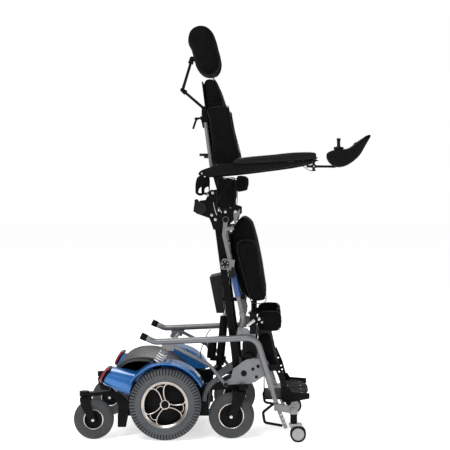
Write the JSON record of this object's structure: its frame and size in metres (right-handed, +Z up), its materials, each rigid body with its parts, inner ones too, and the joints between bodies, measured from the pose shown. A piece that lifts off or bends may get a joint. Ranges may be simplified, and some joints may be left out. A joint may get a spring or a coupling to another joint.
{
  "type": "standing power wheelchair",
  "caption": "Six-wheel standing power wheelchair with raised seat, parallelogram lift, suspended side frames, armrests, joystick, knee cups, footrests and headrest.",
  "frame": {"origin": "on the floor, on the centre plane, under the middle of the whole object's length; the drive axle is 250 mm behind it", "axes": "+X towards the front of the chair, +Y to the user's left, +Z up"},
  "size_m": [1.3124, 0.694, 1.8616],
  "materials": {
    "black_steel": "satin black powder coat",
    "black_plastic": "fine matt texture",
    "grey_plastic": "fine matt texture",
    "blue_paint": "glossy metallic blue",
    "red_lens": "ribbed glossy lens",
    "silver_paint": "metallic silver",
    "bright_steel": "brushed",
    "black_fabric": "woven with piping",
    "grey_tyre": "dusty grey rubber",
    "rim_metal": "machined lip, black behind",
    "black_rubber": "soft matt"
  },
  "bodies": {
    "chassis": {"base_frame": "black_steel", "rear_caster_arms": "black_steel", "battery_pack": "black_plastic", "centre_cover": "grey_plastic", "side_shrouds": "blue_paint", "tail_lights": "red_lens", "drive_motors": "black_steel", "cable_conduits": "grey_plastic", "suspension_springs": "silver_paint"},
    "side_frame_body": {"side_frame": "silver_paint", "end_caps_and_loops": "black_plastic", "anti_tip_brackets": "silver_paint", "frame_bolts": "bright_steel", "control_boxes": "black_plastic", "leg_bars": "black_steel", "calf_pad": "black_fabric"},
    "foot_carrier_body": {"foot_carriers": "black_steel"},
    "seat_body": {"seat_frame": "silver_paint", "seat_sleeves": "blue_paint", "seat_cushion": "black_fabric", "seat_fittings": "black_plastic"},
    "actuator_body": {"lift_actuator_body": "black_plastic"},
    "actuator_rod": {"lift_actuator_rod": "bright_steel"},
    "links_body": {"parallel_links": "black_steel"},
    "hip_body": {"hip_bracket": "black_steel", "recline_motor": "black_plastic", "side_guards": "black_fabric"},
    "back_body": {"back_frame": "silver_paint", "back_cushion": "black_fabric"},
    "head_carrier_body": {"head_carrier": "black_steel"},
    "head_lower_body": {"head_lower_arm": "black_steel"},
    "head_upper_body": {"head_upper_arm": "black_steel"},
    "head_pad_body": {"headrest_pad": "black_fabric"},
    "clamp_lever_body": {"head_clamp_lever": "black_plastic"},
    "joystick_pod_body": {"joystick_pod": "black_plastic"},
    "gimbal_body": {"joystick_gimbal": "bright_steel"},
    "stick_body": {"joystick_stick": "black_rubber"},
    "button_body": {"power_button": "black_rubber"},
    "drive_wheel_r": {"drive_tyre_r": "grey_tyre", "drive_rim_r": "rim_metal"},
    "rear_fork_body_r": {"rear_fork_r": "black_steel"},
    "rear_wheel_body_r": {"rear_wheel_r": "grey_tyre"},
    "front_fork_body_r": {"front_fork_r": "black_steel"},
    "front_wheel_body_r": {"front_wheel_r": "grey_tyre"},
    "tip_fork_body_r": {"anti_tip_fork_r": "grey_plastic"},
    "tip_wheel_body_r": {"anti_tip_wheel_r": "grey_tyre"},
    "footplate_body_r": {"footplate_r": "black_plastic"},
    "knee_pad_body_r": {"knee_pad_r": "black_fabric"},
    "armrest_body_r": {"armrest_r": "black_rubber"},
    "drive_wheel_l": {"drive_tyre_l": "grey_tyre", "drive_rim_l": "rim_metal"},
    "rear_fork_body_l": {"rear_fork_l": "black_steel"},
    "rear_wheel_body_l": {"rear_wheel_l": "grey_tyre"},
    "front_fork_body_l": {"front_fork_l": "black_steel"},
    "front_wheel_body_l": {"front_wheel_l": "grey_tyre"},
    "tip_fork_body_l": {"anti_tip_fork_l": "grey_plastic"},
    "tip_wheel_body_l": {"anti_tip_wheel_l": "grey_tyre"},
    "footplate_body_l": {"footplate_l": "black_plastic"},
    "knee_pad_body_l": {"knee_pad_l": "black_fabric"},
    "armrest_body_l": {"armrest_l": "black_rubber"}
  },
  "joints": [
    {"name": "drive_spin_r", "type": "hinge", "parent": "chassis", "child": "drive_wheel_r", "pos_m": [-0.25, -0.296, 0.159], "axis": [0, 1, 0], "continuous": true},
    {"name": "rear_swivel_r", "type": "hinge", "parent": "chassis", "child": "rear_fork_body_r", "pos_m": [-0.61, -0.27, 0.195], "axis": [0, 0, 1], "continuous": true},
    {"name": "rear_spin_r", "type": "hinge", "parent": "rear_fork_body_r", "child": "rear_wheel_body_r", "pos_m": [-0.568, -0.27, 0.089], "axis": [0, 1, 0], "continuous": true},
    {"name": "front_swivel_r", "type": "hinge", "parent": "chassis", "child": "front_fork_body_r", "pos_m": [0.088, -0.256, 0.22], "axis": [0, 0, 1], "range_deg": [-140, 140]},
    {"name": "front_spin_r", "type": "hinge", "parent": "front_fork_body_r", "child": "front_wheel_body_r", "pos_m": [0.041, -0.256, 0.1015], "axis": [0, 1, 0], "continuous": true},
    {"name": "tip_swivel_r", "type": "hinge", "parent": "side_frame_body", "child": "tip_fork_body_r", "pos_m": [0.316, -0.325, 0.13], "axis": [0, 0, 1], "continuous": true},
    {"name": "tip_spin_r", "type": "hinge", "parent": "tip_fork_body_r", "child": "tip_wheel_body_r", "pos_m": [0.335, -0.325, 0.035], "axis": [0, 1, 0], "continuous": true},
    {"name": "drive_spin_l", "type": "hinge", "parent": "chassis", "child": "drive_wheel_l", "pos_m": [-0.25, 0.296, 0.159], "axis": [0, 1, 0], "continuous": true},
    {"name": "rear_swivel_l", "type": "hinge", "parent": "chassis", "child": "rear_fork_body_l", "pos_m": [-0.61, 0.27, 0.195], "axis": [0, 0, 1], "continuous": true},
    {"name": "rear_spin_l", "type": "hinge", "parent": "rear_fork_body_l", "child": "rear_wheel_body_l", "pos_m": [-0.568, 0.27, 0.089], "axis": [0, 1, 0], "continuous": true},
    {"name": "front_swivel_l", "type": "hinge", "parent": "chassis", "child": "front_fork_body_l", "pos_m": [0.088, 0.256, 0.22], "axis": [0, 0, 1], "range_deg": [-140, 140]},
    {"name": "front_spin_l", "type": "hinge", "parent": "front_fork_body_l", "child": "front_wheel_body_l", "pos_m": [0.041, 0.256, 0.1015], "axis": [0, 1, 0], "continuous": true},
    {"name": "tip_swivel_l", "type": "hinge", "parent": "side_frame_body", "child": "tip_fork_body_l", "pos_m": [0.316, 0.325, 0.13], "axis": [0, 0, 1], "continuous": true},
    {"name": "tip_spin_l", "type": "hinge", "parent": "tip_fork_body_l", "child": "tip_wheel_body_l", "pos_m": [0.335, 0.325, 0.035], "axis": [0, 1, 0], "continuous": true},
    {"name": "frame_tilt", "type": "hinge", "parent": "chassis", "child": "side_frame_body", "pos_m": [0.0955, 0, 0.284], "axis": [0, -1, 0], "range_deg": [0, 4], "deforming": ["suspension_springs"]},
    {"name": "foot_height", "type": "slide", "parent": "side_frame_body", "child": "foot_carrier_body", "axis": [-0.264, 0, 0.9645], "range_m": [0, 0.06]},
    {"name": "footplate_flip_r", "type": "hinge", "parent": "foot_carrier_body", "child": "footplate_body_r", "pos_m": [0.325, -0.192, 0.178], "axis": [1, 0, 0], "range_deg": [0, 90]},
    {"name": "knee_pad_swing_r", "type": "hinge", "parent": "side_frame_body", "child": "knee_pad_body_r", "pos_m": [0.136, -0.216, 0.527], "axis": [0, 0, -1], "range_deg": [0, 80]},
    {"name": "footplate_flip_l", "type": "hinge", "parent": "foot_carrier_body", "child": "footplate_body_l", "pos_m": [0.325, 0.192, 0.178], "axis": [-1, 0, 0], "range_deg": [0, 90]},
    {"name": "knee_pad_swing_l", "type": "hinge", "parent": "side_frame_body", "child": "knee_pad_body_l", "pos_m": [0.136, 0.216, 0.527], "axis": [0, 0, 1], "range_deg": [0, 80]},
    {"name": "stand_lift", "type": "hinge", "parent": "side_frame_body", "child": "seat_body", "pos_m": [0.08, 0, 0.471], "axis": [0, -1, 0], "range_deg": [0, 80]},
    {"name": "hip_level", "type": "hinge", "parent": "seat_body", "child": "hip_body", "pos_m": [0.014, 0, 0.97], "axis": [0, -1, 0], "range_deg": [-80, 0]},
    {"name": "link_swing", "type": "hinge", "parent": "side_frame_body", "child": "links_body", "pos_m": [0.043, 0, 0.44], "axis": [0, -1, 0], "range_deg": [0, 80]},
    {"name": "actuator_swing", "type": "hinge", "parent": "side_frame_body", "child": "actuator_body", "pos_m": [-0.028, 0.07, 0.232], "axis": [0, -1, 0], "range_deg": [0, 43.72]},
    {"name": "actuator_stroke", "type": "slide", "parent": "actuator_body", "child": "actuator_rod", "axis": [0.0914, 0, 0.9958], "range_m": [-0.23254, 0]},
    {"name": "back_recline", "type": "hinge", "parent": "hip_body", "child": "back_body", "pos_m": [0.012, 0, 1.005], "axis": [0, -1, 0], "range_deg": [0, 25]},
    {"name": "head_height", "type": "slide", "parent": "back_body", "child": "head_carrier_body", "axis": [-0.1197, 0, 0.9928], "range_m": [0, 0.06]},
    {"name": "head_clamp", "type": "hinge", "parent": "back_body", "child": "clamp_lever_body", "pos_m": [-0.1, 0.017, 1.425], "axis": [0, 1, 0], "range_deg": [0, 70]},
    {"name": "head_lower_hinge", "type": "hinge", "parent": "head_carrier_body", "child": "head_lower_body", "pos_m": [-0.095, 0, 1.482], "axis": [0, -1, 0], "range_deg": [0, 25]},
    {"name": "head_upper_hinge", "type": "hinge", "parent": "head_lower_body", "child": "head_upper_body", "pos_m": [-0.195, 0, 1.568], "axis": [0, -1, 0], "range_deg": [0, 25]},
    {"name": "head_tilt", "type": "hinge", "parent": "head_upper_body", "child": "head_pad_body", "pos_m": [-0.151, 0, 1.714], "axis": [0, -1, 0], "range_deg": [-8, 20]},
    {"name": "armrest_flip_r", "type": "hinge", "parent": "back_body", "child": "armrest_body_r", "pos_m": [-0.088, -0.29, 1.176], "axis": [0, -1, 0], "range_deg": [0, 95]},
    {"name": "armrest_flip_l", "type": "hinge", "parent": "back_body", "child": "armrest_body_l", "pos_m": [-0.088, 0.29, 1.176], "axis": [0, -1, 0], "range_deg": [0, 95]},
    {"name": "joystick_swing", "type": "hinge", "parent": "armrest_body_r", "child": "joystick_pod_body", "pos_m": [0.405, -0.29, 1.207], "axis": [0, 0, -1], "range_deg": [0, 90]},
    {"name": "stick_pitch", "type": "hinge", "parent": "joystick_pod_body", "child": "gimbal_body", "pos_m": [0.515, -0.29, 1.274], "axis": [0, 1, 0], "range_deg": [-16, 16]},
    {"name": "stick_roll", "type": "hinge", "parent": "gimbal_body", "child": "stick_body", "pos_m": [0.515, -0.29, 1.274], "axis": [1, 0, 0], "range_deg": [-16, 16]},
    {"name": "power_press", "type": "slide", "parent": "joystick_pod_body", "child": "button_body", "axis": [0.5632, 0, -0.8263], "range_m": [0, 0.002]}
  ],
  "couplings": [
    {"joint": "hip_level", "follows": "stand_lift", "ratio": -1},
    {"joint": "link_swing", "follows": "stand_lift", "ratio": 1},
    {"joint": "actuator_swing", "follows": "stand_lift", "ratio": 0.54635},
    {"joint": "actuator_stroke", "follows": "stand_lift", "m_per_rad": -0.16647}
  ]
}
